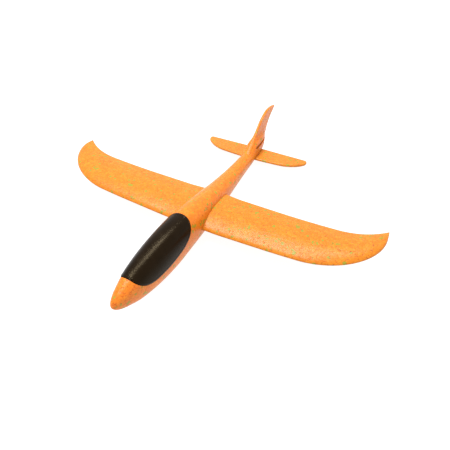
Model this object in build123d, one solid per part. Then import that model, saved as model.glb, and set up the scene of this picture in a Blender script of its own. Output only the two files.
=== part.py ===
from build123d import *
import os
from math import copysign, cos, pi, sin, sqrt

# Hand-launched toy glider moulded in bead foam: a body with its fin in one piece, a one-piece
# wing pushed sideways through the body, a tailplane pushed in from behind, a canopy shell in a
# shallow seat, and a steel slug in the nose that balances it.
# Millimetres. A station is a distance back from the nose tip, a height is above the flat of the
# belly. The nose points along -Y, the port wing along +X, and +Z is up.

# Body
BODY_LENGTH = 428.0          # nose tip to the round rear end of the tail prongs
BODY_WIDTH = 41.4            # widest place, below the rear of the canopy
BODY_HEIGHT = 60.0           # flat of the belly to the crown of the back
NOSE_LENGTH = 14.0           # blunt round end of the nose
NOSE_HEIGHT = 36.5           # height of the nose tip
STERN_LENGTH = 34.0          # rear stretch that is rounded in plan
SECTION_FULLNESS = 2.3       # exponent of the oval sections: 2 is an ellipse, more is squarer
HALF_POINTS = 8              # steps along each half of an oval section

# Share of the body length, then half width, top and bottom as shares of half width and height.
BODY_SECTIONS = [
    (0.033, 0.47, 0.790, 0.360),
    (0.075, 0.69, 0.890, 0.210),
    (0.145, 0.90, 0.960, 0.080),
    (0.227, 0.99, 1.000, -0.010),
    (0.308, 1.00, 0.975, -0.018),
    (0.390, 0.975, 0.903, -0.018),
    (0.472, 0.92, 0.800, -0.014),
    (0.565, 0.81, 0.665, 0.035),
    (0.682, 0.66, 0.560, 0.077),
    (0.790, 0.55, 0.512, 0.093),
    (0.823, 0.535, 0.510, 0.093),
    (0.846, 0.53, 0.600, 0.093),
    (0.869, 0.525, 0.705, 0.093),
    (0.893, 0.515, 0.745, 0.093),
    (0.921, 0.50, 0.760, 0.095),
    (1.000, 0.48, 0.775, 0.097),
]
NOSE_STEPS = [0.006, 0.07, 0.22, 0.5, 0.8]  # shares of the nose length that carry a section
STERN_STEPS = [0.40, 0.70, 0.90, 0.992]     # shares of the stern length that do
STERN_RISE = 5.0             # the underside rises this much at the very end
RING_SPACING = 10.0          # between the sections in the long middle stretch

# Fin, moulded with the body
FIN_FOOT = 78.0              # foot of the leading edge, ahead of the body's rear end
FIN_OVERHANG = 44.0          # tip of the fin, behind the body's rear end
FIN_RISE = 47.0              # foot of the leading edge to the crown
FIN_FOOT_HEIGHT = 0.5 * BODY_HEIGHT
FIN_THICKNESS = 5.0
FIN_EDGE = 1.5               # rounding of its edges
FIN_TIP_RADIUS = 1.5
FIN_TIP_CUT = 2.55           # rounding the sharp tip shortens it by this many radii
FIN_FRONT = [(0.0, 0.0), (0.29, 0.51), (0.45, 0.82), (0.64, 1.0), (0.83, 0.985), (1.0, 0.88)]
FIN_REAR = [(1.0, 0.88), (0.82, 0.67), (0.705, 0.38), (0.655, 0.08)]

# Wing
SPAN = 490.0
WING_STATION = 155.3         # leading edge at the middle of the wing
WING_HEIGHT = 27.0           # height of its chord line at the middle
ROOT_CHORD = 80.7
REAR_SWEEP = 0.065           # the trailing edge runs forward this much for each mm outboard
FLAT_HALF = 42.0             # the middle of the wing is flat to here
DIHEDRAL = 0.06              # rise for each mm outboard of the flat
TIP_LENGTH = 93.0            # outer stretch where the leading edge curves back
TIP_SETBACK = 72.0           # how far back that curve carries the leading edge
HEEL_LENGTH = 65.0           # outer stretch where the trailing edge curves back
HEEL_SETBACK = 20.8
HEEL_POWER = 2.5
CURL_LENGTH = 142.0          # outer stretch that curls up
CURL_RISE = 8.2
OUTER_STEPS = [0.0, 0.08, 0.20, 0.36, 0.52, 0.65, 0.76, 0.85, 0.915, 0.96, 0.985, 1.0]

# Wing section, as shares of its chord: distance from the leading edge, then height
SECTION_NOSE = (0.0, -0.028)
SECTION_TOP = [(0.10, 0.050), (0.38, 0.100), (0.72, 0.074)]
SECTION_TOP_END = (1.0, 0.020)
SECTION_UNDER_END = (1.0, -0.014)
SECTION_UNDER = [(0.45, -0.052), (0.09, -0.066)]

# Tailplane
TAILPLANE_SPAN = 195.0
TAILPLANE_CHORD = 38.0
TAILPLANE_THICKNESS = 5.0
TAILPLANE_HEIGHT = 0.225 * BODY_HEIGHT  # height of its middle, which follows the body's height
TAILPLANE_SWEEP = 3.3        # setback of the leading edge where the tip starts
TAILPLANE_TIP = 40.0         # outer stretch where the leading edge curves back
TAILPLANE_WIDEST = 0.80      # share of the chord at which the tip is widest
TAILPLANE_CORNER = 6.0       # outer stretch where the trailing edge curves forward
TAILPLANE_TAPER = 1.6        # the trailing edge comes forward this much from root to tip
TAILPLANE_EDGE = 2.0
TAIL_OVERHANG = 62.0         # leading edge of the tailplane ahead of the body's rear end
BOW_POWER = 1.8              # exponent of the leading edge's curves
TAIL_TIP_STEPS = [0.25, 0.46, 0.64, 0.78, 0.89, 0.965]

# Slots through the body
UPPER_SLOT_HEIGHT = 0.5417 * BODY_HEIGHT  # the free slot, for the other trim setting
UPPER_SLOT_SETBACK = 4.5     # it starts this much further back than the lower one
SLOT_FIT = 0.2               # room around the wing and the tailplane, each side

# Canopy
CANOPY_STATION = 28.5        # front edge on the crown
CANOPY_LENGTH = 111.5
CANOPY_SILL = 28.8           # height of the lower edge
CANOPY_WALL = 2.0
CANOPY_PROUD = 0.6           # it stands this much above the foam
CANOPY_GAP = 0.3             # seam around it
CANOPY_EDGE = [(0.005, 0.62), (0.065, 0.30), (0.22, 0.05), (0.48, 0.0),
               (0.74, 0.09), (0.88, 0.39), (0.96, 0.74)]

# Nose weight
SLUG_DIAMETER = 8.0
SLUG_LENGTH = 8.0
SLUG_STATION = 40.0
SLUG_FIT = 0.2               # room around the slug in its pocket
SLUG_DEPTH = 6.0             # foam seat of the canopy to the top of the slug

LENGTH = BODY_LENGTH + FIN_OVERHANG
SIDE = Plane((0, -LENGTH / 2, 0), x_dir=(0, 1, 0), z_dir=(1, 0, 0))   # station across, height up
CUT = 200.0                  # long enough to run past the body


def smooth_value(share, column):
    """One column of BODY_SECTIONS at any share of the length, on cubic arcs between its rows."""
    rows = BODY_SECTIONS
    last = len(rows) - 1
    i = max(k for k in range(last) if rows[k][0] <= share or k == 0)

    def slope(k):
        before, after = rows[max(k - 1, 0)], rows[min(k + 1, last)]
        return (after[column] - before[column]) / (after[0] - before[0])

    gap = rows[i + 1][0] - rows[i][0]
    t = (share - rows[i][0]) / gap
    start, end = rows[i][column], rows[i + 1][column]
    bend_in, bend_out = slope(i) * gap, slope(i + 1) * gap
    keep_start = 2 * t**3 - 3 * t**2 + 1
    return (start * keep_start + end * (1 - keep_start)
            + bend_in * (t**3 - 2 * t**2 + t) + bend_out * (t**3 - t**2))


def ring_at(station):
    """Station, half width, top and bottom of the body before its two ends are rounded."""
    share = station / BODY_LENGTH
    half_width = smooth_value(share, 1) * BODY_WIDTH / 2
    return station, half_width, smooth_value(share, 2) * BODY_HEIGHT, smooth_value(share, 3) * BODY_HEIGHT


def body_rings():
    """All sections of the body, with the nose and the stern rounded off as quarter ovals."""
    rings = []
    _, half_width, top, bottom = ring_at(NOSE_LENGTH)
    for step in NOSE_STEPS:
        grown = sqrt(step)
        high = NOSE_HEIGHT + (top - NOSE_HEIGHT) * grown
        low = NOSE_HEIGHT + (bottom - NOSE_HEIGHT) * grown
        rings.append((NOSE_LENGTH * step, half_width * grown, high, low))
    stern = BODY_LENGTH - STERN_LENGTH
    count = round((stern - NOSE_LENGTH) / RING_SPACING)
    for i in range(count + 1):
        rings.append(ring_at(NOSE_LENGTH + (stern - NOSE_LENGTH) * i / count))
    for step in STERN_STEPS:
        station, half_width, top, bottom = ring_at(stern + STERN_LENGTH * step)
        shrunk = sqrt(1 - step**2)
        rings.append((station, half_width * shrunk, top, bottom + STERN_RISE * (1 - shrunk)))
    return rings


def oval(station, half_width, top, bottom):
    """Closed face of one body section, a superellipse across the body in an upper and a lower half."""
    middle = (top + bottom) / 2
    half_height = (top - bottom) / 2
    power = 2 / SECTION_FULLNESS
    halves = []
    for way in (1, -1):
        points = []
        for i in range(HALF_POINTS + 1):
            turn = pi * i / HALF_POINTS
            across = copysign(abs(cos(turn)) ** power, cos(turn))
            up = way * sin(turn) ** power if 0 < i < HALF_POINTS else 0
            points.append((half_width * across, station - LENGTH / 2, middle + half_height * up))
        halves.append(Spline(*points, tangents=[(0, 0, way), (0, 0, -way)]))
    return make_face(halves)


def body_shape(grow=0.0):
    """The body's oval form without fin or cuts, grown outwards by a distance."""
    rings = [(s, w + grow, t + grow, b - grow) for s, w, t, b in body_rings() if w + grow > 0.5]
    return loft([oval(*ring) for ring in rings])


def side_prism(outline, width=CUT):
    """Outline in the side view carried straight across the body."""
    return extrude(SIDE * make_face(outline), width / 2, both=True)


def make_fin():
    """Swept crescent of foam that grows out of the back of the body."""
    reach = FIN_FOOT + FIN_OVERHANG + FIN_TIP_CUT * FIN_TIP_RADIUS
    foot = BODY_LENGTH - FIN_FOOT
    front = [(foot + u * reach, FIN_FOOT_HEIGHT + v * FIN_RISE) for u, v in FIN_FRONT]
    rear = [(foot + u * reach, FIN_FOOT_HEIGHT + v * FIN_RISE) for u, v in FIN_REAR]
    face = make_face([Spline(*front), Spline(*rear), Line(rear[-1], front[0])])
    tip = face.vertices().sort_by(Axis.X)[-1]
    face = fillet(tip, FIN_TIP_RADIUS)
    fin = Pos(-FIN_THICKNESS / 2, 0, 0) * extrude(SIDE * face, FIN_THICKNESS)
    rim = [edge for side in fin.faces().filter_by(Axis.X) for edge in side.edges()]
    return fillet([edge for edge in rim if edge.geom_type != GeomType.LINE], FIN_EDGE)


def wing_edges(x):
    """Stations of the leading and the trailing edge at a distance from the middle."""
    leading = WING_STATION
    trailing = WING_STATION + ROOT_CHORD - REAR_SWEEP * x
    tip_share = (x - (SPAN / 2 - TIP_LENGTH)) / TIP_LENGTH
    heel_share = (x - (SPAN / 2 - HEEL_LENGTH)) / HEEL_LENGTH
    if tip_share > 0:
        leading += TIP_SETBACK * (1 - sqrt(max(1 - tip_share**2, 0)))
    if heel_share > 0:
        trailing += HEEL_SETBACK * heel_share**HEEL_POWER
    return leading, trailing


def wing_rise(x):
    """Height of the chord line above the middle of the wing."""
    curl_share = max(x - (SPAN / 2 - CURL_LENGTH), 0) / CURL_LENGTH
    return DIHEDRAL * max(x - FLAT_HALF, 0) + CURL_RISE * curl_share**2


def wing_section(x, room=0.0):
    """Face of the wing section at a distance from the middle, grown by some room all round."""
    leading, trailing = wing_edges(abs(x))
    chord = trailing - leading
    middle = WING_HEIGHT + wing_rise(abs(x))

    def place(point, side):
        along, up = point
        station = leading + along * chord + room * (2 * along - 1)
        return station, middle + up * chord + side * room

    nose = place(SECTION_NOSE, 0)
    top = [place(point, 1) for point in SECTION_TOP + [SECTION_TOP_END]]
    under = [place(point, -1) for point in SECTION_UNDER[::-1] + [SECTION_UNDER_END]]
    upper = Spline(nose, *top, tangents=[(0, 1), (top[-1][0] - top[-2][0], top[-1][1] - top[-2][1])])
    lower = Spline(nose, *under, tangents=[(0, -1), (under[-1][0] - under[-2][0], under[-1][1] - under[-2][1])])
    face = make_face([upper, lower, Line(top[-1], under[-1])])
    return Pos(x, 0, 0) * (SIDE * face)


def make_wing():
    """One-piece wing: a flat middle and two outer panels that rise and curl up."""
    outer = SPAN / 2 - FLAT_HALF
    middle = loft([wing_section(0), wing_section(FLAT_HALF)], ruled=True)
    panel = loft([wing_section(FLAT_HALF + outer * step) for step in OUTER_STEPS])
    port = middle + panel
    return port + mirror(port, Plane.YZ)


def wing_slot():
    """The wing's middle section, with room to slide, carried right through the body."""
    return extrude(wing_section(0, SLOT_FIT), CUT / 2, both=True)


def tail_slot(height, setback=0.0):
    """Level slot from the tailplane's place to the open rear end of the body."""
    front = BODY_LENGTH - TAIL_OVERHANG - SLOT_FIT + setback - LENGTH / 2
    slot = Box(CUT, CUT, TAILPLANE_THICKNESS + 2 * SLOT_FIT, align=(Align.CENTER, Align.MIN, Align.CENTER))
    return Pos(0, front, height) * slot


def tailplane_lead(x):
    """Setback of the tailplane's leading edge at a distance from the middle."""
    straight = TAILPLANE_SPAN / 2 - TAILPLANE_TIP
    bow = TAILPLANE_SWEEP * (x / straight) ** BOW_POWER
    tip_share = max(x - straight, 0) / TAILPLANE_TIP
    closing = 1 - max(1 - tip_share**BOW_POWER, 0) ** (1 / BOW_POWER)
    return bow + (TAILPLANE_WIDEST * TAILPLANE_CHORD - bow) * closing


def make_tailplane():
    """Flat foam plate with swept round tips and rounded edges, lying across the lower slot."""
    half = TAILPLANE_SPAN / 2
    front = BODY_LENGTH - TAIL_OVERHANG - LENGTH / 2
    straight = half - TAILPLANE_TIP
    places = [0, 0.5 * straight, straight] + [straight + TAILPLANE_TIP * step for step in TAIL_TIP_STEPS]
    widest = (half, front + TAILPLANE_WIDEST * TAILPLANE_CHORD)
    corner = (half - TAILPLANE_CORNER, front + TAILPLANE_CHORD - TAILPLANE_TAPER)
    lead = Spline(*[(x, front + tailplane_lead(x)) for x in places], widest, tangents=[(1, 0), (0, 1)])
    heel = Line(corner, (0, front + TAILPLANE_CHORD))
    trail = Spline(widest, corner, tangents=[(0, 1), heel % 0])
    outline = [lead, trail, heel]
    face = make_face(outline + [mirror(edge, Plane.YZ) for edge in outline])
    plate = extrude(face, TAILPLANE_THICKNESS / 2, both=True)
    rim = plate.edges().filter_by(Axis.Z, reverse=True)
    return Pos(0, 0, TAILPLANE_HEIGHT) * fillet(rim, TAILPLANE_EDGE)


def canopy_region(room):
    """Everything inside the canopy's outline in the side view, less some room at its edge."""
    tall = BODY_HEIGHT - CANOPY_SILL
    edge = [(CANOPY_STATION + u * CANOPY_LENGTH, CANOPY_SILL + v * tall) for u, v in CANOPY_EDGE]
    middle = (CANOPY_STATION + CANOPY_LENGTH / 2, CANOPY_SILL + tall)
    inset = []
    for station, height in edge:
        away = sqrt((station - middle[0])**2 + (height - middle[1])**2)
        keep = 1 - room / away
        inset.append((middle[0] + (station - middle[0]) * keep, middle[1] + (height - middle[1]) * keep))
    front = (CANOPY_STATION + room, 2 * BODY_HEIGHT)
    rear = (CANOPY_STATION + CANOPY_LENGTH - room, 2 * BODY_HEIGHT)
    front_foot = (front[0], CANOPY_SILL + 0.85 * tall)
    rear_foot = (rear[0], CANOPY_SILL + 1.02 * tall)
    curve = Spline(front_foot, *inset[1:], rear_foot, tangents=[(0, -1), (0, 1)])
    return side_prism([Line(front, front_foot), curve, Line(rear_foot, rear), Line(rear, front)])


def slug_pocket_height():
    """Height of the foot of the slug's pocket."""
    _, _, top, _ = ring_at(SLUG_STATION)
    return top - CANOPY_WALL - SLUG_DEPTH - SLUG_LENGTH


def make_slug():
    """Round steel slug standing in its pocket below the canopy."""
    slug = Cylinder(SLUG_DIAMETER / 2, SLUG_LENGTH, align=(Align.CENTER, Align.CENTER, Align.MIN))
    slug = chamfer(slug.edges(), 0.4)
    return Pos(0, SLUG_STATION - LENGTH / 2, slug_pocket_height()) * slug


def make_pocket():
    """Hole for the slug, open upwards into the canopy's seat."""
    pocket = Cylinder(SLUG_DIAMETER / 2 + SLUG_FIT, CUT, align=(Align.CENTER, Align.CENTER, Align.MIN))
    return Pos(0, SLUG_STATION - LENGTH / 2, slug_pocket_height()) * pocket


def make_canopy(seat):
    """Thin shell that follows the crown of the body and stands a little proud of the foam."""
    return (body_shape(CANOPY_PROUD) & canopy_region(CANOPY_GAP)) - seat


def make_body(seat):
    """Foam body with its fin, flat belly, canopy seat, slug pocket and the slots."""
    body = body_shape()
    below = Box(CUT, 2 * LENGTH, CUT, align=(Align.CENTER, Align.CENTER, Align.MAX))
    body = body - below
    body = body + make_fin()
    body = body - (canopy_region(0) - seat)
    body = body - make_pocket()
    body = body - wing_slot()
    body = body - tail_slot(TAILPLANE_HEIGHT)
    body = body - tail_slot(UPPER_SLOT_HEIGHT, UPPER_SLOT_SETBACK)
    return body


os.makedirs("parts", exist_ok=True)
canopy_seat = body_shape(-CANOPY_WALL)
PIECES = {
    "body": make_body(canopy_seat),
    "canopy": make_canopy(canopy_seat),
    "nose_weight": make_slug(),
    "wing": make_wing(),
    "tailplane": make_tailplane(),
}
for name, piece in PIECES.items():
    export_step(piece, f"parts/{name}.step")
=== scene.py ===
from math import cos, pi, radians, sin
import bmesh
import bpy
import numpy as np
from mathutils import Matrix, Vector


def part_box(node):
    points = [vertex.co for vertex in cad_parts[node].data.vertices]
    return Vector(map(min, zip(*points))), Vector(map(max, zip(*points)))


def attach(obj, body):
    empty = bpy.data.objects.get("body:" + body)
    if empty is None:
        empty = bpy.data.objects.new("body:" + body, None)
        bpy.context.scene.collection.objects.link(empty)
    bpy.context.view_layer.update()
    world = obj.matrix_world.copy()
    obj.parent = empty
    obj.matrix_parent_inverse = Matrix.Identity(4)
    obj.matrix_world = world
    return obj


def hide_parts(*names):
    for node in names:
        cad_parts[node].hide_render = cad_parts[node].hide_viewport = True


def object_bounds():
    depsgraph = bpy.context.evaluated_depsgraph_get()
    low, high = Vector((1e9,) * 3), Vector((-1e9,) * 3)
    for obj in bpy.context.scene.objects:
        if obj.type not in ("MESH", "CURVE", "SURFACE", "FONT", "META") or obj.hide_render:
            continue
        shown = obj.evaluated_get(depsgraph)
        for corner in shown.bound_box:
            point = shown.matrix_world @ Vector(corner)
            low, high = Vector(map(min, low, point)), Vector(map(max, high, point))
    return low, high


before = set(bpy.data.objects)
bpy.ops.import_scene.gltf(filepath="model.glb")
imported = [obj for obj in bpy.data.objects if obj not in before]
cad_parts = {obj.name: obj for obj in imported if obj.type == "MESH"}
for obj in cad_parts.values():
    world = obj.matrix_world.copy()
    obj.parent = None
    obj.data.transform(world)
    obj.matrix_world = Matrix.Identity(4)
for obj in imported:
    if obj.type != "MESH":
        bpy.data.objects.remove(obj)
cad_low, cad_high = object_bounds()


# ---- Body -------------------------------------------------------------------------------------
# The body is moulded in bead foam in one piece with the swept fin. Its back rises in a hump at the
# foot of the fin. A slot right through takes the wing, two level slots at the tail are open at the
# rear, and a shallow seat on the crown takes the canopy. Shapes are in millimetres: a station is
# the distance back from the nose tip, and heights are above the flat of the belly.
MILLIMETRE = 0.001
MERGE_DISTANCE = 1e-6           # in metres: points closer than this are one
INSIDE = 0.02                   # the wing and tailplane tips stay this far inside the CAD's box
NOSE_CUT = 0.084                # the very tip of the nose is this much flattened
NOSE_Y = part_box("body")[0].y / MILLIMETRE - NOSE_CUT
BODY_LENGTH = 428.0
BODY_HALF_WIDTH = 20.7
BODY_HEIGHT = 60.0
NOSE_LENGTH = 14.0
NOSE_HEIGHT = 36.5
STERN_LENGTH = 34.0
STERN_RISE = 5.0
FULLNESS = 2.3                  # 2 would make elliptical sections, more makes them squarer
# Stations as shares of the length, with the half width there as a share of BODY_HALF_WIDTH, and the
# top and the underside as shares of BODY_HEIGHT.
BODY_SHARES = np.array([0.033, 0.075, 0.145, 0.227, 0.308, 0.390, 0.472, 0.565, 0.682,
                        0.790, 0.823, 0.846, 0.869, 0.893, 0.921, 1.000])
BODY_HALF = np.array([0.47, 0.69, 0.90, 0.99, 1.00, 0.975, 0.92, 0.81, 0.66,
                      0.55, 0.535, 0.53, 0.525, 0.515, 0.50, 0.48])
BODY_TOP = np.array([0.790, 0.890, 0.960, 1.000, 0.975, 0.903, 0.800, 0.665, 0.560,
                     0.512, 0.510, 0.600, 0.705, 0.745, 0.760, 0.775])
BODY_UNDER = np.array([0.360, 0.210, 0.080, -0.010, -0.018, -0.018, -0.014, 0.035, 0.077,
                       0.093, 0.093, 0.093, 0.093, 0.093, 0.095, 0.097])
# Leading and trailing edge of the fin from foot to tip: shares of FIN_REACH and of FIN_RISE.
FIN_FRONT = np.array([(0.0, 0.0), (0.29, 0.51), (0.45, 0.82), (0.64, 1.0), (0.83, 0.985), (0.955, 0.912)])
FIN_REAR = np.array([(0.655, 0.08), (0.705, 0.38), (0.82, 0.67), (0.955, 0.834)])
FIN_FOOT = (350.0, 30.0)        # station and height of the foot of the leading edge
FIN_REACH = 125.8               # foot of the leading edge to where the edges would meet
FIN_RISE = 47.0
FIN_HALF = 2.45                 # half of its thickness
FIN_EDGE = 2.2                  # width of its rounded edges
FIN_THINNEST = 0.45             # share of the thickness left where the chord runs out
FIN_FULL_CHORD = 16.0           # chord at which it has its whole thickness
FIN_FLARE = 2.4                 # extra half thickness where it grows out of the back
FLARE_HEIGHT = 2.4              # height over which the flare fades
FLARE_END = 24.0                # length before the stern over which the flare fades
FIN_RINGS = 90
TIP_RINGS = 8                   # rings of the half circle at the tip
TIP_END = 0.98                  # share of a quarter turn at the last of them
SEAM_HEIGHT = 0.16              # fine raised line where the halves of the mould met
SEAM_WIDTH = 0.55
TAIL_SLOTS = ((365.8, 13.5), (370.3, 32.5))    # front and height of the lower and the upper slot
SLOT_HALF = 2.7
SLOT_CORNER = 1.6               # rounding of the slot's front end
PAST = 60.0                     # how far a cutter reaches past the foam


def full_turn(columns):
    """Angles evenly round one turn."""
    return np.linspace(0, 2 * pi, columns + 1)[:-1]


def smooth(x, xs, ys):
    """Cubic arcs through the points (xs, ys): the slope at a point is that between its neighbours."""
    slopes = np.gradient(ys, xs)
    slopes[1:-1] = (ys[2:] - ys[:-2]) / (xs[2:] - xs[:-2])
    i = np.clip(np.searchsorted(xs, x, side="right") - 1, 0, len(xs) - 2)
    gap = xs[i + 1] - xs[i]
    t = (x - xs[i]) / gap
    start = 2 * t**3 - 3 * t**2 + 1
    ends = ys[i] * start + ys[i + 1] * (1 - start)
    return ends + gap * (slopes[i] * (t**3 - 2 * t**2 + t) + slopes[i + 1] * (t**3 - t**2))


def body_ring(station):
    """Half width, top and underside at each station. Both ends close as quarter ovals: the sizes
    shrink with the square root of the way to the nose tip, and with a circle's arc at the stern."""
    share = np.clip(station, NOSE_LENGTH, None) / BODY_LENGTH
    half = smooth(share, BODY_SHARES, BODY_HALF) * BODY_HALF_WIDTH
    top = smooth(share, BODY_SHARES, BODY_TOP) * BODY_HEIGHT
    under = smooth(share, BODY_SHARES, BODY_UNDER) * BODY_HEIGHT
    grown = np.sqrt(np.clip(station / NOSE_LENGTH, 0, 1))
    top = NOSE_HEIGHT + (top - NOSE_HEIGHT) * grown
    under = NOSE_HEIGHT + (under - NOSE_HEIGHT) * grown
    stern = np.clip((station - BODY_LENGTH + STERN_LENGTH) / STERN_LENGTH, 0, 1)
    shrunk = np.sqrt(1 - stern**2)
    return half * grown * shrunk, top, under + STERN_RISE * (1 - shrunk)


def oval_points(station, turn, out=0.0, seam=0.0):
    """Points of the body's surface, moved outwards a little: a superellipse across each station,
    with its foot cut off flat at the belly. The mould seam adds a bell curve of x on the middle."""
    half, top, under = body_ring(station)
    middle, tall = (top + under) / 2, (top - under) / 2
    power = 2 / FULLNESS
    across = np.sign(np.cos(turn)) * np.abs(np.cos(turn)) ** power
    up = np.sign(np.sin(turn)) * np.abs(np.sin(turn)) ** power
    x = (half + out) * across
    ridge = seam * np.exp(-(x / SEAM_WIDTH)**2)
    height = np.maximum(middle + (tall + out + ridge) * up, 0)
    return np.stack([x, station + NOSE_Y + 0 * x, height], axis=-1)


def add_surface(name, points, ring=True):
    """Mesh of a grid of points in millimetres. Each row is joined to the next, a row is closed on
    itself if it is a ring, and the first and last rows are filled flat. Points that coincide are
    merged, and the faces are turned outwards."""
    rows, columns = points.shape[:2]
    r = np.arange(rows - 1)[:, None]
    c = np.arange(columns if ring else columns - 1)[None, :]
    after = (c + 1) % columns
    faces = np.stack([r * columns + c, r * columns + after,
                      (r + 1) * columns + after, (r + 1) * columns + c], axis=-1).reshape(-1, 4).tolist()
    if ring:
        faces += [list(range(columns)), list(range((rows - 1) * columns, rows * columns))]
    mesh = bpy.data.meshes.new(name)
    mesh.from_pydata((points.reshape(-1, 3) * MILLIMETRE).tolist(), [], faces)
    work = bmesh.new()
    work.from_mesh(mesh)
    bmesh.ops.remove_doubles(work, verts=work.verts, dist=MERGE_DISTANCE)
    bmesh.ops.recalc_face_normals(work, faces=work.faces)
    work.to_mesh(mesh)
    work.free()
    mesh.shade_smooth()
    piece = bpy.data.objects.new(name, mesh)
    bpy.context.scene.collection.objects.link(piece)
    return piece


def carve(piece, tool, way="DIFFERENCE"):
    """Joins another closed shape to the piece, or takes it away, and removes the tool."""
    step = piece.modifiers.new("carve", "BOOLEAN")
    step.operation = way
    step.object = tool
    step.solver = "EXACT"
    graph = bpy.context.evaluated_depsgraph_get()
    mesh = bpy.data.meshes.new_from_object(piece.evaluated_get(graph))
    piece.modifiers.clear()
    piece.data = mesh
    bpy.data.objects.remove(tool)


def finish_edges(piece, degrees=40):
    """Smooth shading, with the edges sharper than an angle left crisp."""
    piece.data.shade_smooth()
    piece.data.set_sharp_from_angle(angle=radians(degrees))


def along(points, share):
    """Points of a smooth line through the given points, at shares of its length."""
    steps = np.linalg.norm(np.diff(points, axis=0), axis=1)
    length = np.concatenate([[0], np.cumsum(steps)]) / steps.sum()
    return np.stack([smooth(share, length, points[:, k]) for k in range(2)], axis=-1)


def make_fin():
    """The fin as rings from foot to tip. Each ring runs from the front line to the rear line and
    back, with round edges. It flares near the back of the body, and the tip ends as a half circle,
    the last rings shrinking about their middle as they move back."""
    up = np.concatenate([np.linspace(0, 1, FIN_RINGS), np.ones(TIP_RINGS)])[:, None]
    tip_turn = np.linspace(0, pi / 2, TIP_RINGS + 1)[1:] * TIP_END
    cap = np.concatenate([np.zeros(FIN_RINGS), tip_turn])[:, None]
    turn = full_turn(96)[None, :]
    front, rear = along(FIN_FRONT, up), along(FIN_REAR, up)
    middle = (front + rear) / 2
    front = middle + (front - middle) * np.cos(cap)[..., None]
    rear = middle + (rear - middle) * np.cos(cap)[..., None]
    back = (1 - np.cos(turn))[..., None] / 2
    line = front + (rear - front) * back
    station = FIN_FOOT[0] + line[..., 0] * FIN_REACH + np.sin(cap) * FIN_HALF / 2
    height = FIN_FOOT[1] + line[..., 1] * FIN_RISE
    chord = np.linalg.norm((rear - front) * (FIN_REACH, FIN_RISE), axis=-1)
    edge = np.minimum(back[..., 0], 1 - back[..., 0]) * chord
    rounding = np.sqrt(1 - (1 - np.clip(edge / FIN_EDGE, 0, 1))**2)
    slim = FIN_THINNEST + (1 - FIN_THINNEST) * np.sqrt(np.clip(chord / FIN_FULL_CHORD, 0, 1))
    _, top, _ = body_ring(np.clip(station, 0, BODY_LENGTH))
    ending = np.clip((BODY_LENGTH - station) / FLARE_END, 0, 1)
    flare = FIN_FLARE * ending * np.exp(-np.clip(height - top, 0, None) / FLARE_HEIGHT)
    x = (FIN_HALF * slim * np.cos(cap) + flare) * rounding * np.sign(np.sin(turn))
    return add_surface("fin", np.stack([x, station + NOSE_Y, height], axis=-1))


def make_bar(name, low, high, round_front):
    """Closed bar right across the body, for a slot, with the corners of its front end rounded. The
    two corners given are each a station and a height."""
    front, rear, foot, roof = low[0], high[0], low[1], high[1]
    bend = np.linspace(0, pi / 2, 7)
    corner = np.stack([1 - np.cos(bend), np.sin(bend)], axis=-1) * round_front
    upper = np.array([front, roof]) + np.stack([corner[:, 0], -round_front + corner[:, 1]], axis=-1)
    lower = (np.array([front, foot]) + np.stack([corner[:, 0], round_front - corner[:, 1]], axis=-1))[::-1]
    outline = np.concatenate([upper, [[rear, roof], [rear, foot]], lower])
    rows = [np.stack([np.full(len(outline), x), outline[:, 0] + NOSE_Y, outline[:, 1]], axis=-1)
            for x in (-PAST, PAST)]
    return add_surface(name, np.stack(rows))


# Rings stand closer where the ends close, and columns stand closer at the seam.
END_RINGS = 26
TRUNK_RINGS = 300
BODY_COLUMNS = 128
NOSE_START = 0.078              # square root of the first ring's share of the nose's length
STERN_TURN = 1.53               # the last ring stops just short of the quarter turn that closes it
NEAR_SEAM = np.array([0.009, 0.018, 0.027, 0.036, 0.06])       # angles of the closer columns
nose = NOSE_LENGTH * np.linspace(NOSE_START, 1, END_RINGS)[:-1]**2
trunk = np.linspace(NOSE_LENGTH, BODY_LENGTH - STERN_LENGTH, TRUNK_RINGS)
stern = BODY_LENGTH - STERN_LENGTH + STERN_LENGTH * np.sin(np.linspace(0, STERN_TURN, END_RINGS))[1:]
stations = np.concatenate([nose, trunk, stern])[:, None]
close_turns = [seam_turn + way * NEAR_SEAM for seam_turn in (pi / 2, 3 * pi / 2) for way in (-1, 1)]
turns = np.sort(np.concatenate([full_turn(BODY_COLUMNS)] + close_turns))[None, :]
body = add_surface("body_foam", oval_points(stations, turns, seam=SEAM_HEIGHT))
carve(body, make_fin(), "UNION")
for slot_front, slot_height in TAIL_SLOTS:
    carve(body, make_bar("slot", (slot_front, slot_height - SLOT_HALF),
                         (BODY_LENGTH + PAST, slot_height + SLOT_HALF), SLOT_CORNER))


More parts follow.
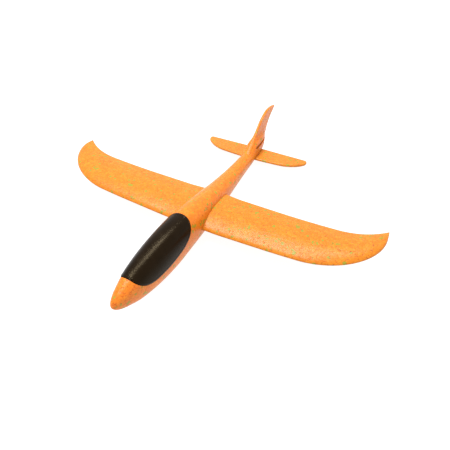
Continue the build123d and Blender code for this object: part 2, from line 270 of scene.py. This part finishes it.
class Paint:
    """A new material, with short calls that add nodes to it and feed their inputs."""

    def __init__(self, name):
        self.material = bpy.data.materials.new(name)
        self.material.use_nodes = True
        self.tree = self.material.node_tree
        self.shader = self.tree.nodes["Principled BSDF"].inputs

    def feed(self, socket, value):
        """Links an output to the socket, or sets the socket to a plain value."""
        if isinstance(value, bpy.types.NodeSocket):
            self.tree.links.new(value, socket)
        else:
            socket.default_value = value

    def add(self, kind, inputs, **settings):
        """Adds a node, feeds its inputs by name or number, and returns its outputs."""
        node = self.tree.nodes.new(kind)
        for key, value in settings.items():
            setattr(node, key, value)
        for key, value in inputs.items():
            self.feed(node.inputs[key], value)
        return node.outputs

    def noise(self, place, scale, detail, roughness=0.5):
        """Outputs of a noise, a value and a colour, with so many waves in a metre."""
        return self.add("ShaderNodeTexNoise", {"Vector": place, "Scale": scale, "Detail": detail,
                                               "Roughness": roughness})

    def ramp(self, value, low, high, start=0.0, end=1.0):
        """Straight line from start at the low value to end at the high one, level beyond them."""
        return self.add("ShaderNodeMapRange", {"Value": value, "From Min": low, "From Max": high,
                                               "To Min": start, "To Max": end})[0]

    def maths(self, operation, *values):
        """Result of a sum or a product of two or three values."""
        return self.add("ShaderNodeMath", dict(enumerate(values)), operation=operation)[0]

    def mix(self, factor, first, second):
        """The first colour where the factor is 0, the second where it is 1."""
        return self.add("ShaderNodeMix", {0: factor, 6: first, 7: second}, data_type="RGBA")[2]

    def roughen(self, height, strength, distance):
        """Tilts the light as if the surface rose by the height."""
        bump = self.add("ShaderNodeBump", {"Height": height, "Strength": strength, "Distance": distance})
        self.feed(self.shader["Normal"], bump[0])


BEAD_SCALE = 255.0              # beads in a metre
BEAD_WANDER = (0.0012, 0.0012, 0.0012)     # how far their seams stray each way, in metres
BEAD_GREEN = (0.15, 0.40, 0.030, 1)
GREEN_GROUPING = 0.20           # how much the green beads keep together
GREEN_CHANCE = 1.034            # the higher, the fewer of them
SKIN_TONE_AND_SHADE_TINT = (0.45, 0.30, 0.30)   # colour against the deep colour: the foam's own tone under the skin, painted shade in the seams and pits, and the darker pores
SKIN_SHARE = 0.5                # how much of that colour shows through the skin all over
SEAM_SHADE_SHARE = 0.20               # and how much more as painted shade in the seams and in open pits, and in pores
PIT_SHADE_SHARE = 0.55
PORE_SHARE = 0.34


def foam(name, light, deep, offset):
    """Moulded bead foam: beads about 4 mm across, each a little lighter or deeper, a few of them
    yellow-green, with fine seams, open pits between them and pores, under a thin satin skin."""
    paint = Paint(name)
    place = paint.add("ShaderNodeTexCoord", {})["Object"]
    place = paint.add("ShaderNodeMapping", {"Vector": place, "Location": offset})[0]
    stray = paint.noise(place, 420.0, 2.0)["Color"]
    bent = paint.add("ShaderNodeVectorMath", {0: stray, 1: BEAD_WANDER, 2: place},
                     operation="MULTIPLY_ADD")[0]
    beads = paint.add("ShaderNodeTexVoronoi", {"Vector": bent, "Scale": BEAD_SCALE})
    edges = paint.add("ShaderNodeTexVoronoi", {"Vector": bent, "Scale": BEAD_SCALE},
                      feature="DISTANCE_TO_EDGE")
    chance = paint.add("ShaderNodeSeparateColor", {0: beads["Color"]})

    tone = paint.mix(chance[0], (*deep, 1), (*light, 1))
    cloud = paint.ramp(paint.noise(place, 38.0, 3.0)[0], 0.3, 0.7, 0.92, 1.06)
    tone = paint.add("ShaderNodeVectorMath", {0: tone, "Scale": cloud}, operation="SCALE")[0]

    groups = paint.noise(place, 55.0, 1.0)[0]
    likely = paint.maths("MULTIPLY_ADD", groups, GREEN_GROUPING, chance[1])
    rare = paint.ramp(likely, GREEN_CHANCE, GREEN_CHANCE + 0.004)
    inner = paint.ramp(beads["Distance"], 0.98, 0.76, 0.0, 0.94)
    tone = paint.mix(paint.maths("MULTIPLY", rare, inner), tone, BEAD_GREEN)

    # Painted shade: the seams and the open pits, which the bump below also sinks, are darkened towards the
    # deep tint. The pores are darker specks, and the whole surface takes part of that tint as its own
    # tone.
    seam = paint.ramp(edges["Distance"], 0.0, 0.07, 1.0, 0.0)
    spread = paint.noise(place, 260.0, 2.0)[0]
    pit = paint.maths("MULTIPLY", seam, paint.ramp(spread, 0.54, 0.66))
    pores = paint.ramp(paint.noise(place, 700.0, 1.0)[0], 0.58, 0.72, 0.0, PORE_SHARE)
    shade = paint.maths("MULTIPLY_ADD", seam, SEAM_SHADE_SHARE, SKIN_SHARE)
    shade = paint.maths("ADD", paint.maths("MULTIPLY_ADD", pit, PIT_SHADE_SHARE, shade), pores)
    under = (*(part * tint for part, tint in zip(deep, SKIN_TONE_AND_SHADE_TINT)), 1)
    paint.feed(paint.shader["Base Color"], paint.mix(shade, tone, under))

    grain = paint.noise(place, 1500.0, 2.0)[0]
    swell = paint.maths("MULTIPLY_ADD", beads["Distance"], -1.0, grain)
    paint.roughen(paint.maths("SUBTRACT", swell, pit), 0.5, 0.0003)
    paint.feed(paint.shader["Roughness"], paint.ramp(spread, 0.0, 1.0, 0.24, 0.40))
    paint.shader["Specular IOR Level"].default_value = 0.26
    return paint.material


BODY_LIGHT = (0.95, 0.328, 0.021)
BODY_DEEP = (0.90, 0.236, 0.0115)


# ---- Canopy -----------------------------------------------------------------------------------
# A thin near-black shell with a fine leathery grain, moulded to the crown and glued into its seat.
# It stands a little proud of the foam, with a rounded rim and a narrow seam around it.
CANOPY_STATION = 28.5
CANOPY_LENGTH = 111.5
CANOPY_SILL = 28.8              # height of the lower edge
# The edge from front to rear: shares of the length, and of the height from the sill to BODY_HEIGHT.
CANOPY_OUTLINE = np.array([(0.0, 0.98), (0.004, 0.76), (0.022, 0.58), (0.065, 0.37), (0.13, 0.18),
                           (0.22, 0.06), (0.35, 0.015), (0.48, 0.0), (0.62, 0.03), (0.74, 0.095),
                           (0.88, 0.335), (0.96, 0.69), (0.995, 0.90), (1.0, 1.02)])
CANOPY_WALL = 2.0
CANOPY_PROUD = 0.6
CANOPY_RIM = 1.3                # width of its rounded edge
RIM_DROP = 0.8                  # share of the wall that the rounding takes
CANOPY_GAP = 0.3                # narrow seam between the shell and its seat
RIM_BEAD = 0.22                 # low raised line, BEAD_INSET from the edge
BEAD_INSET = 2.6
BEAD_WIDTH = 0.7
CANOPY_RINGS = 190
CANOPY_COLUMNS = 110
SEAT_PROUD = 3.0                # how far the seat's cutter stands out of the foam
SLUG_ROOM = 0.2                 # between the steel slug below the canopy and its round pocket


def canopy_shell(name, room, proud, rim, bead):
    """Closed shell on the body's crown. Across each station it runs from one side edge over the
    crown to the other, and back underneath. The outer face drops along a quarter circle near the
    edge, by the distance to the nearest point of the outline."""
    line = along(CANOPY_OUTLINE, np.linspace(0, 1, 1500))
    edge_station = CANOPY_STATION + room + line[:, 0] * (CANOPY_LENGTH - 2 * room)
    edge_height = CANOPY_SILL + room + line[:, 1] * (BODY_HEIGHT - CANOPY_SILL)
    rising = np.maximum.accumulate(edge_station) + np.arange(len(line)) * 1e-7
    way = (1 - np.cos(np.linspace(0, pi, CANOPY_RINGS))) / 2
    station = rising[0] + (rising[-1] - rising[0]) * way
    _, top, under = body_ring(station)
    up = (np.interp(station, rising, edge_height) - (top + under) / 2) / ((top - under) / 2)
    start = np.arcsin(np.clip(np.abs(up), 0, 1) ** (FULLNESS / 2)) * np.sign(up)
    across = (1 - np.cos(np.linspace(0, pi, CANOPY_COLUMNS)))[None, :] / 2
    turn = start[:, None] + (pi - 2 * start[:, None]) * across
    base = oval_points(station[:, None], turn)
    limits = np.concatenate([base[:, 0], base[:, -1]])[::2]
    flat = base.reshape(-1, 3)
    away = np.concatenate([np.sqrt(((part[:, None] - limits[None])**2).sum(-1)).min(1)
                           for part in np.array_split(flat, 40)]).reshape(base.shape[:2])
    drop = (proud + CANOPY_WALL) * (1 - np.sqrt(1 - (1 - np.clip(away / rim, 0, 1))**2)) * RIM_DROP
    lift = proud - drop + bead * np.exp(-((away - BEAD_INSET) / BEAD_WIDTH)**2)
    outer = oval_points(station[:, None], turn, lift)
    inner = oval_points(station[:, None], turn, -CANOPY_WALL)
    return add_surface(name, np.concatenate([outer, inner[:, ::-1]], axis=1))


carve(body, canopy_shell("canopy_seat", room=0.0, proud=SEAT_PROUD, rim=0.001, bead=0.0))
slug_low, slug_high = (Vector(corner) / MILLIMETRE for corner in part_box("nose_weight"))
slug_middle = (slug_low + slug_high) / 2
pocket_radius = (slug_high.x - slug_low.x) / 2 + SLUG_ROOM
around = full_turn(64)
pocket = np.stack([np.stack([slug_middle.x + pocket_radius * np.cos(around),
                             slug_middle.y + pocket_radius * np.sin(around),
                             np.full(len(around), height)], axis=-1)
                   for height in (slug_low.z, BODY_HEIGHT + CANOPY_PROUD)])
carve(body, add_surface("slug_pocket", pocket))
canopy = canopy_shell("canopy_shell", CANOPY_GAP, CANOPY_PROUD, CANOPY_RIM, RIM_BEAD)


def grained_shell():
    """Near-black brown plastic: fine leathery grain, soft gloss that varies, faint rub marks."""
    paint = Paint("canopy_grain")
    place = paint.add("ShaderNodeTexCoord", {})["Object"]
    grain = paint.add("ShaderNodeTexVoronoi", {"Vector": place, "Scale": 1100.0}, feature="SMOOTH_F1")
    fine = paint.noise(place, 2600.0, 3.0)[0]
    rub = paint.noise(place, 90.0, 4.0, 0.6)[0]
    paint.roughen(paint.maths("ADD", grain["Distance"], fine), 0.6, 0.00012)
    tone = paint.mix(rub, (0.0040, 0.0018, 0.0007, 1), (0.0095, 0.0048, 0.0020, 1))
    paint.feed(paint.shader["Base Color"], tone)
    paint.feed(paint.shader["Roughness"], paint.ramp(rub, 0.3, 0.7, 0.17, 0.30))
    paint.shader["Specular IOR Level"].default_value = 0.115
    paint.shader["Specular Tint"].default_value = (1.0, 0.80, 0.48, 1)
    return paint.material


finish_edges(canopy, 50)
canopy.data.materials.append(grained_shell())
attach(canopy, "fuselage")
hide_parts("canopy")


# ---- Wing -------------------------------------------------------------------------------------
# One moulding of bead foam from tip to tip, pushed sideways through the body. The middle is flat,
# the outer panels rise and curl up, and the leading edge sweeps back in a quarter ellipse.
HALF_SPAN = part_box("wing")[1].x / MILLIMETRE - INSIDE
WING_STATION = 155.3            # of the leading edge in the middle
WING_HEIGHT = 27.0              # of the chord line in the middle
ROOT_CHORD = 80.7
REAR_SWEEP = 0.065              # how far the trailing edge comes forward for each millimetre outwards
FLAT_HALF = 42.0                # half of the flat middle
DIHEDRAL = 0.06                 # rise of the outer panels for each millimetre outwards
TIP_LENGTH = 93.0               # outer stretch where the leading edge sweeps back by TIP_SETBACK
TIP_SETBACK = 72.0
HEEL_LENGTH = 65.0              # outer stretch where the trailing edge hooks back by HEEL_SETBACK
HEEL_SETBACK = 20.8
HEEL_POWER = 2.5
CURL_LENGTH = 142.0             # outer stretch that curls up by CURL_RISE
CURL_RISE = 8.2
WING_TIP_EDGE = 2.2             # width of the rounding at the tip
SLOT_ROOM = 0.2                 # between the wing and its slot, which has the middle section all through
SECTION_NOSE = -0.028           # heights are shares of the chord
SECTION_TOP = [(0.10, 0.050), (0.38, 0.100), (0.72, 0.074), (1.0, 0.020)]
SECTION_UNDER = [(0.09, -0.066), (0.45, -0.052), (1.0, -0.014)]


def section_side(points, share):
    """Height of one side of the wing section: the root of the share plus powers of it, through the
    given points, which starts square to the chord at the nose."""
    x, y = np.array(points).T

    def terms(t):
        return np.stack([np.sqrt(t)] + [t**k for k in range(1, len(points))], axis=-1)

    return SECTION_NOSE + terms(share) @ np.linalg.solve(terms(x), y - SECTION_NOSE)


def wing_points(x, grow=0.0):
    """Rings round the wing section at distances x from the middle. Each runs from the rear edge
    over the top to the nose and back below, and the rear edge and the tips are rounded."""
    out = np.abs(x)[:, None]
    tip = np.clip((out - HALF_SPAN + TIP_LENGTH) / TIP_LENGTH, 0, 1)
    heel = np.clip((out - HALF_SPAN + HEEL_LENGTH) / HEEL_LENGTH, 0, 1)
    curl = np.clip((out - HALF_SPAN + CURL_LENGTH) / CURL_LENGTH, 0, 1)
    lead = WING_STATION + TIP_SETBACK * (1 - np.sqrt(1 - tip**2))
    trail = WING_STATION + ROOT_CHORD - REAR_SWEEP * out + HEEL_SETBACK * heel**HEEL_POWER
    chord = trail - lead
    rise = WING_HEIGHT + DIHEDRAL * np.clip(out - FLAT_HALF, 0, None) + CURL_RISE * curl**2
    turn = full_turn(120)[None, :]
    share = (1 + np.cos(turn)) / 2
    over = np.sin(turn) >= 0
    top, under = section_side(SECTION_TOP, share), section_side(SECTION_UNDER, share)
    height = np.where(over, top, under)
    half_rear = (SECTION_TOP[-1][1] - SECTION_UNDER[-1][1]) / 2
    inset = np.clip((1 - share) / half_rear, 0, 1)
    middle = (top + under) / 2
    height = middle + (height - middle) * np.sqrt(1 - (1 - inset)**2)
    to_tip = np.sqrt(1 - (1 - np.clip((HALF_SPAN - out) / WING_TIP_EDGE, 0, 1))**2)
    height = middle + (height - middle) * to_tip
    station = lead + share * chord + grow * (2 * share - 1)
    z = rise + height * chord + grow * np.where(over, 1, -1)
    return np.stack([x[:, None] + 0 * z, station + NOSE_Y, z], axis=-1)


def ring_places(half_span, tip_length, inner_rings, tip_rings):
    """Distances of the rings from tip to tip: even in the middle, closer towards both ends."""
    inner = np.linspace(0, half_span - tip_length, inner_rings)[:-1]
    outer = half_span - tip_length + tip_length * np.sin(np.linspace(0, pi / 2, tip_rings))
    half = np.concatenate([inner, outer])
    return np.concatenate([-half[:0:-1], half])


wing = add_surface("wing_foam", wing_points(ring_places(HALF_SPAN, TIP_LENGTH, 70, 80)))
slot_rings = np.repeat(wing_points(np.zeros(1), SLOT_ROOM), 2, axis=0)
slot_rings[:, :, 0] = [[-2 * FLAT_HALF], [2 * FLAT_HALF]]
carve(body, add_surface("wing_slot", slot_rings))
finish_edges(wing)
WING_LIGHT = (0.81, 0.324, 0.020)
WING_DEEP = (0.76, 0.238, 0.010)
wing.data.materials.append(foam("wing_bead_foam", WING_LIGHT, WING_DEEP, (0.31, 0.07, 0.02)))
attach(wing, "wing")
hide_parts("wing")

# With the wing slot cut, the body is complete.
finish_edges(body)
body.data.materials.append(foam("body_bead_foam", BODY_LIGHT, BODY_DEEP, (0.0, 0.0, 0.0)))
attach(body, "fuselage")
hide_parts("body")


# ---- Tailplane --------------------------------------------------------------------------------
# A flat foam plate with round tips and rounded edges, pushed into the lower slot from behind.
TAIL_HALF_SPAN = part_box("tailplane")[1].x / MILLIMETRE - INSIDE
TAIL_FRONT = 366.0              # station of the leading edge in the middle
TAIL_CHORD = 38.0
TAIL_HALF = 2.5                 # half of its thickness
TAIL_SWEEP = 3.3                # how far the leading edge bows back before it curves to the tip
BOW_POWER = 1.8
TAIL_TIP = 40.0                 # outer stretch where the leading edge curves back
TAIL_WIDEST = 0.80              # share of the chord at which the tip is widest
TAIL_CORNER = 6.0               # outer stretch where the trailing edge curves forward
TAIL_TAPER = 1.6                # how far the trailing edge comes forward at the tip
TAIL_EDGE = 2.2                 # width of its rounded edges


def tailplane_points(x):
    """Rings round the plate at distances x from the middle: flat faces and round edges. The
    leading edge bows back with a power of x and then closes on a superellipse, the trailing edge
    closes on a small quarter ellipse, and they meet at the widest place."""
    out = np.abs(x)[:, None]
    straight = TAIL_HALF_SPAN - TAIL_TIP
    tip = np.clip((out - straight) / TAIL_TIP, 0, 1)
    corner = np.clip((out - TAIL_HALF_SPAN + TAIL_CORNER) / TAIL_CORNER, 0, 1)
    widest = TAIL_WIDEST * TAIL_CHORD
    lead = TAIL_SWEEP * (out / straight)**BOW_POWER
    trail = TAIL_CHORD - TAIL_TAPER * out / TAIL_HALF_SPAN
    lead = lead + (widest - lead) * (1 - (1 - tip**BOW_POWER)**(1 / BOW_POWER))
    trail = trail + (widest - trail) * (1 - np.sqrt(1 - corner**2))
    turn = full_turn(96)[None, :]
    share = (1 + np.cos(turn)) / 2
    station = lead + share * (trail - lead)
    edge = np.minimum(share, 1 - share) * (trail - lead)
    rounding = np.sqrt(1 - (1 - np.clip(edge / TAIL_EDGE, 0, 1))**2)
    to_tip = np.sqrt(1 - (1 - np.clip((TAIL_HALF_SPAN - out) / TAIL_EDGE, 0, 1))**2)
    z = TAIL_SLOTS[0][1] + TAIL_HALF * np.sign(np.sin(turn)) * rounding * to_tip
    return np.stack([x[:, None] + 0 * z, TAIL_FRONT + station + NOSE_Y, z], axis=-1)


tail_rings = ring_places(TAIL_HALF_SPAN, TAIL_TIP, 40, 50)
tailplane = add_surface("tailplane_foam", tailplane_points(tail_rings))
finish_edges(tailplane)
TAIL_LIGHT = (0.83, 0.344, 0.027)
TAIL_DEEP = (0.78, 0.254, 0.017)
tailplane.data.materials.append(foam("tail_bead_foam", TAIL_LIGHT, TAIL_DEEP, (0.9, 0.5, 0.4)))
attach(tailplane, "tailplane")
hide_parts("tailplane")


# ---- Nose weight ------------------------------------------------------------------------------
# A turned steel slug that stands in its pocket under the canopy and can't be seen from outside. It
# is a plain cylinder, so it keeps its CAD mesh and only gets the steel.
steel = Paint("slug_steel")
slug_place = steel.add("ShaderNodeTexCoord", {})["Object"]
turning = steel.noise(slug_place, 900.0, 2.0)[0]
steel.feed(steel.shader["Roughness"], steel.ramp(turning, 0.0, 1.0, 0.25, 0.45))
steel.shader["Base Color"].default_value = (0.55, 0.55, 0.57, 1)
steel.shader["Metallic"].default_value = 1.0
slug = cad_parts["nose_weight"]
slug.data.materials.clear()
slug.data.materials.append(steel.material)


# ---- Studio -----------------------------------------------------------------------------------
# A plain white floor in a white room, two long narrow lamps that draw the lights along the canopy
# and the wing, and the camera in front of the port wing. Sizes here are in metres.
FLOOR_HALF = 8
FLOOR_GAP = 0.0003              # between the floor and the belly
floor_corners = [(x * FLOOR_HALF, y * FLOOR_HALF, 0) for x, y in ((-1, -1), (1, -1), (1, 1), (-1, 1))]
floor_mesh = bpy.data.meshes.new("floor")
floor_mesh.from_pydata(floor_corners, [], [(0, 1, 2, 3)])
floor = bpy.data.objects.new("floor", floor_mesh)
floor.location.z = cad_low.z - FLOOR_GAP
bpy.context.scene.collection.objects.link(floor)
floor_paint = Paint("floor_paint")
floor_paint.shader["Base Color"].default_value = (0.20, 0.20, 0.20, 1)
floor_paint.shader["Emission Color"].default_value = (1, 1, 1, 1)
floor_paint.shader["Emission Strength"].default_value = 0.92
floor_paint.shader["Roughness"].default_value = 0.9
floor_paint.shader["Specular IOR Level"].default_value = 0.1
floor_mesh.materials.append(floor_paint.material)

world = bpy.data.worlds.new("studio")
world.use_nodes = True
room_light = world.node_tree.nodes["Background"].inputs
room_light["Color"].default_value = (1, 1, 1, 1)
room_light["Strength"].default_value = 1.0
bpy.context.scene.world = world
bpy.context.scene.view_settings.view_transform = "Standard"


def add_lamp(name, place, size, watts, direction=(1.0, 0.0, 0.0)):
    """Rectangular soft lamp that faces the middle of the glider, its long side along a direction."""
    lamp = bpy.data.lights.new(name, "AREA")
    lamp.shape = "RECTANGLE"
    lamp.size, lamp.size_y = size
    lamp.energy = watts
    away = Vector(place).normalized()
    long_side = Vector(direction)
    long_side = (long_side - away * long_side.dot(away)).normalized()
    stand = bpy.data.objects.new(name, lamp)
    stand.location = place
    stand.rotation_euler = Matrix((long_side, away.cross(long_side), away)).transposed().to_euler()
    bpy.context.scene.collection.objects.link(stand)


add_lamp("strip_lamp", (-0.11, 0.26, 1.13), (0.75, 0.06), 9.5, (0.53, 0.43, -0.09))
add_lamp("front_lamp", (-0.27, -0.27, 1.08), (0.36, 0.05), 9.0)

AZIMUTH = radians(25.87)
ELEVATION = radians(44.05)
ROLL = radians(1.11)
DISTANCE = 0.5334
AIM = Vector((0.0175, -0.004, -0.0337))
back = Vector((sin(AZIMUTH) * cos(ELEVATION), -cos(AZIMUTH) * cos(ELEVATION), sin(ELEVATION)))
right = Vector((cos(AZIMUTH), sin(AZIMUTH), 0))
up = back.cross(right)
turned_right = right * cos(ROLL) + up * sin(ROLL)
turned_up = up * cos(ROLL) - right * sin(ROLL)
lens = bpy.data.cameras.new("camera")
lens.lens = 26.0
lens.sensor_width = 36.0
lens.clip_start = 0.01
camera = bpy.data.objects.new("camera", lens)
camera.rotation_euler = Matrix((turned_right, turned_up, back)).transposed().to_euler()
camera.location = AIM + back * DISTANCE
bpy.context.scene.collection.objects.link(camera)
bpy.context.scene.camera = camera
